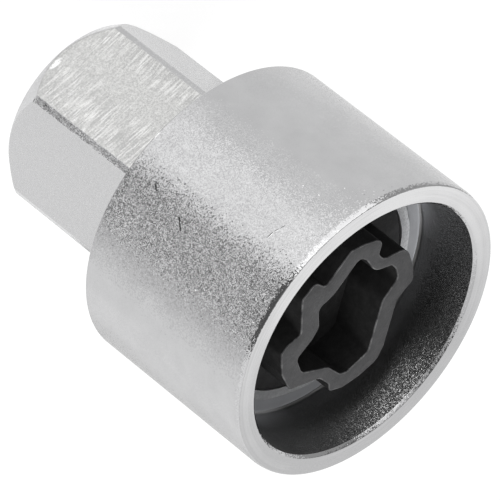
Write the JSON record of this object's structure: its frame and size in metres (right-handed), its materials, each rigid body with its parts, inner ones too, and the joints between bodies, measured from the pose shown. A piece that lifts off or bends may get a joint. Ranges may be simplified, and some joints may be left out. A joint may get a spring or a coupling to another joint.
{
  "type": "locking wheel nut key socket",
  "caption": "Plated steel cup with a milled hex drive and a black key insert whose wavy wall fits the groove of a locking wheel nut.",
  "frame": {"origin": "centre of the hex drive's end face, on which the part stands", "axes": "+Z along the axis from the hex end to the open end of the cup, +X square to one of the hex flats"},
  "size_m": [0.0318, 0.0318, 0.0403],
  "materials": {
    "plated_steel": "bright zinc plating over turned and milled steel, finely grained",
    "black_steel": "matt black oxide, worn a little lighter on the raised face"
  },
  "bodies": {
    "root": {"socket_body": "plated_steel", "key_insert": "black_steel"}
  },
  "joints": []
}
